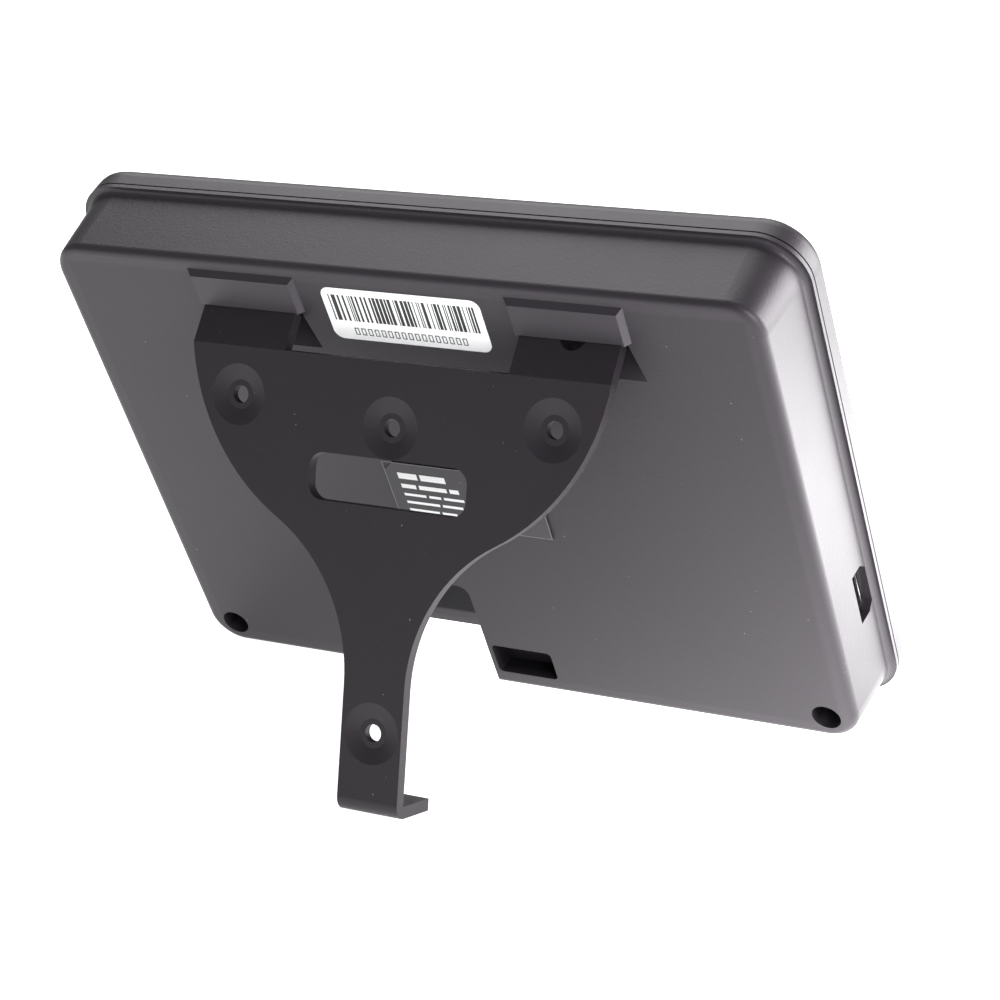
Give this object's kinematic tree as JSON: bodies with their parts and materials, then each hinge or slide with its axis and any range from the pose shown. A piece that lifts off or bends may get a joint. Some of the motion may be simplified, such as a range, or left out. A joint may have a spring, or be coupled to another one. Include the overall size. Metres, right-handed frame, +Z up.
{
  "type": "fingerprint scanner terminal",
  "caption": "Landscape desk or wall fingerprint terminal with keypad, display and sensor, leaning back on its Y-shaped mounting bracket used as an easel stand.",
  "frame": {"origin": "middle of the footprint's bounding box, on the surface that the terminal stands on", "axes": "+Z up, the terminal's front faces -Y and its back, with the bracket, faces +Y; X is along its width, the longest side"},
  "size_m": [0.1888, 0.1062, 0.1344],
  "materials": {
    "housing_plastic": "fine moulded texture",
    "bracket_plastic": "fine moulded texture",
    "gloss_lens": "polished",
    "display_glass": "polished",
    "bezel_plastic": "satin",
    "platen_glass": "polished",
    "key_plastic": "satin",
    "inner_plastic": "plain",
    "silicone": "matt",
    "circuit_board": "solder mask",
    "ribbon": "polyimide film",
    "steel": "nickel plated",
    "light_pipe": "clear",
    "led": "clear",
    "speaker_paper": "paper",
    "chip": "moulded epoxy",
    "capacitor_can": "plain",
    "relay_case": "plain",
    "contact_gold": "gold plated",
    "nameplate_film": "printed film",
    "sticker_paper": "printed paper"
  },
  "bodies": {
    "case": {"rear_housing": "housing_plastic", "front_cover": "housing_plastic", "front_lens": "gloss_lens", "display_glass": "display_glass", "display_frame": "steel", "display_ribbon": "ribbon", "sensor_bezel": "bezel_plastic", "sensor_platen": "platen_glass", "sensor_housing": "inner_plastic", "sensor_board": "circuit_board", "sensor_connector": "inner_plastic", "keypad_membrane": "silicone", "keypad_board": "circuit_board", "keypad_ribbon": "ribbon", "keypad_screws": "steel", "status_light_pipe": "light_pipe", "status_leds": "led", "speaker_frame": "inner_plastic", "speaker_cone": "speaker_paper", "main_board": "circuit_board", "board_screws": "steel", "case_screws": "steel", "processor_chip": "chip", "memory_chips": "chip", "network_transformer": "chip", "power_inductor": "chip", "power_capacitors": "capacitor_can", "door_relay": "relay_case", "clock_cell_holder": "inner_plastic", "clock_cell": "steel", "usb_shell": "steel", "usb_tongue": "inner_plastic", "usb_contacts": "contact_gold", "network_socket": "inner_plastic", "network_contacts": "contact_gold", "power_jack": "inner_plastic", "power_jack_pin": "steel", "nameplate": "nameplate_film", "barcode_sticker": "sticker_paper"},
    "bracket": {"mounting_bracket": "bracket_plastic"},
    "key_1": {"key_1": "key_plastic"},
    "key_2": {"key_2": "key_plastic"},
    "key_3": {"key_3": "key_plastic"},
    "key_escape": {"key_escape": "key_plastic"},
    "key_4": {"key_4": "key_plastic"},
    "key_5": {"key_5": "key_plastic"},
    "key_6": {"key_6": "key_plastic"},
    "key_menu": {"key_menu": "key_plastic"},
    "key_7": {"key_7": "key_plastic"},
    "key_8": {"key_8": "key_plastic"},
    "key_9": {"key_9": "key_plastic"},
    "key_up": {"key_up": "key_plastic"},
    "key_power": {"key_power": "key_plastic"},
    "key_0": {"key_0": "key_plastic"},
    "key_ok": {"key_ok": "key_plastic"},
    "key_down": {"key_down": "key_plastic"}
  },
  "joints": [
    {"name": "bracket_slide", "type": "slide", "parent": "case", "child": "bracket", "axis": [0, 0.6547, -0.7559], "range_m": [0, 0.005]},
    {"name": "key_1_press", "type": "slide", "parent": "case", "child": "key_1", "axis": [0, 0.9291, -0.3698], "range_m": [0, 0.0008], "stiffness_N_per_m": 700, "springref_m": -0.0006},
    {"name": "key_2_press", "type": "slide", "parent": "case", "child": "key_2", "axis": [0, 0.9291, -0.3698], "range_m": [0, 0.0008], "stiffness_N_per_m": 700, "springref_m": -0.0006},
    {"name": "key_3_press", "type": "slide", "parent": "case", "child": "key_3", "axis": [0, 0.9291, -0.3698], "range_m": [0, 0.0008], "stiffness_N_per_m": 700, "springref_m": -0.0006},
    {"name": "key_escape_press", "type": "slide", "parent": "case", "child": "key_escape", "axis": [0, 0.9291, -0.3698], "range_m": [0, 0.0008], "stiffness_N_per_m": 700, "springref_m": -0.0006},
    {"name": "key_4_press", "type": "slide", "parent": "case", "child": "key_4", "axis": [0, 0.9291, -0.3698], "range_m": [0, 0.0008], "stiffness_N_per_m": 700, "springref_m": -0.0006},
    {"name": "key_5_press", "type": "slide", "parent": "case", "child": "key_5", "axis": [0, 0.9291, -0.3698], "range_m": [0, 0.0008], "stiffness_N_per_m": 700, "springref_m": -0.0006},
    {"name": "key_6_press", "type": "slide", "parent": "case", "child": "key_6", "axis": [0, 0.9291, -0.3698], "range_m": [0, 0.0008], "stiffness_N_per_m": 700, "springref_m": -0.0006},
    {"name": "key_menu_press", "type": "slide", "parent": "case", "child": "key_menu", "axis": [0, 0.9291, -0.3698], "range_m": [0, 0.0008], "stiffness_N_per_m": 700, "springref_m": -0.0006},
    {"name": "key_7_press", "type": "slide", "parent": "case", "child": "key_7", "axis": [0, 0.9291, -0.3698], "range_m": [0, 0.0008], "stiffness_N_per_m": 700, "springref_m": -0.0006},
    {"name": "key_8_press", "type": "slide", "parent": "case", "child": "key_8", "axis": [0, 0.9291, -0.3698], "range_m": [0, 0.0008], "stiffness_N_per_m": 700, "springref_m": -0.0006},
    {"name": "key_9_press", "type": "slide", "parent": "case", "child": "key_9", "axis": [0, 0.9291, -0.3698], "range_m": [0, 0.0008], "stiffness_N_per_m": 700, "springref_m": -0.0006},
    {"name": "key_up_press", "type": "slide", "parent": "case", "child": "key_up", "axis": [0, 0.9291, -0.3698], "range_m": [0, 0.0008], "stiffness_N_per_m": 700, "springref_m": -0.0006},
    {"name": "key_power_press", "type": "slide", "parent": "case", "child": "key_power", "axis": [0, 0.9291, -0.3698], "range_m": [0, 0.0008], "stiffness_N_per_m": 700, "springref_m": -0.0006},
    {"name": "key_0_press", "type": "slide", "parent": "case", "child": "key_0", "axis": [0, 0.9291, -0.3698], "range_m": [0, 0.0008], "stiffness_N_per_m": 700, "springref_m": -0.0006},
    {"name": "key_ok_press", "type": "slide", "parent": "case", "child": "key_ok", "axis": [0, 0.9291, -0.3698], "range_m": [0, 0.0008], "stiffness_N_per_m": 700, "springref_m": -0.0006},
    {"name": "key_down_press", "type": "slide", "parent": "case", "child": "key_down", "axis": [0, 0.9291, -0.3698], "range_m": [0, 0.0008], "stiffness_N_per_m": 700, "springref_m": -0.0006}
  ]
}
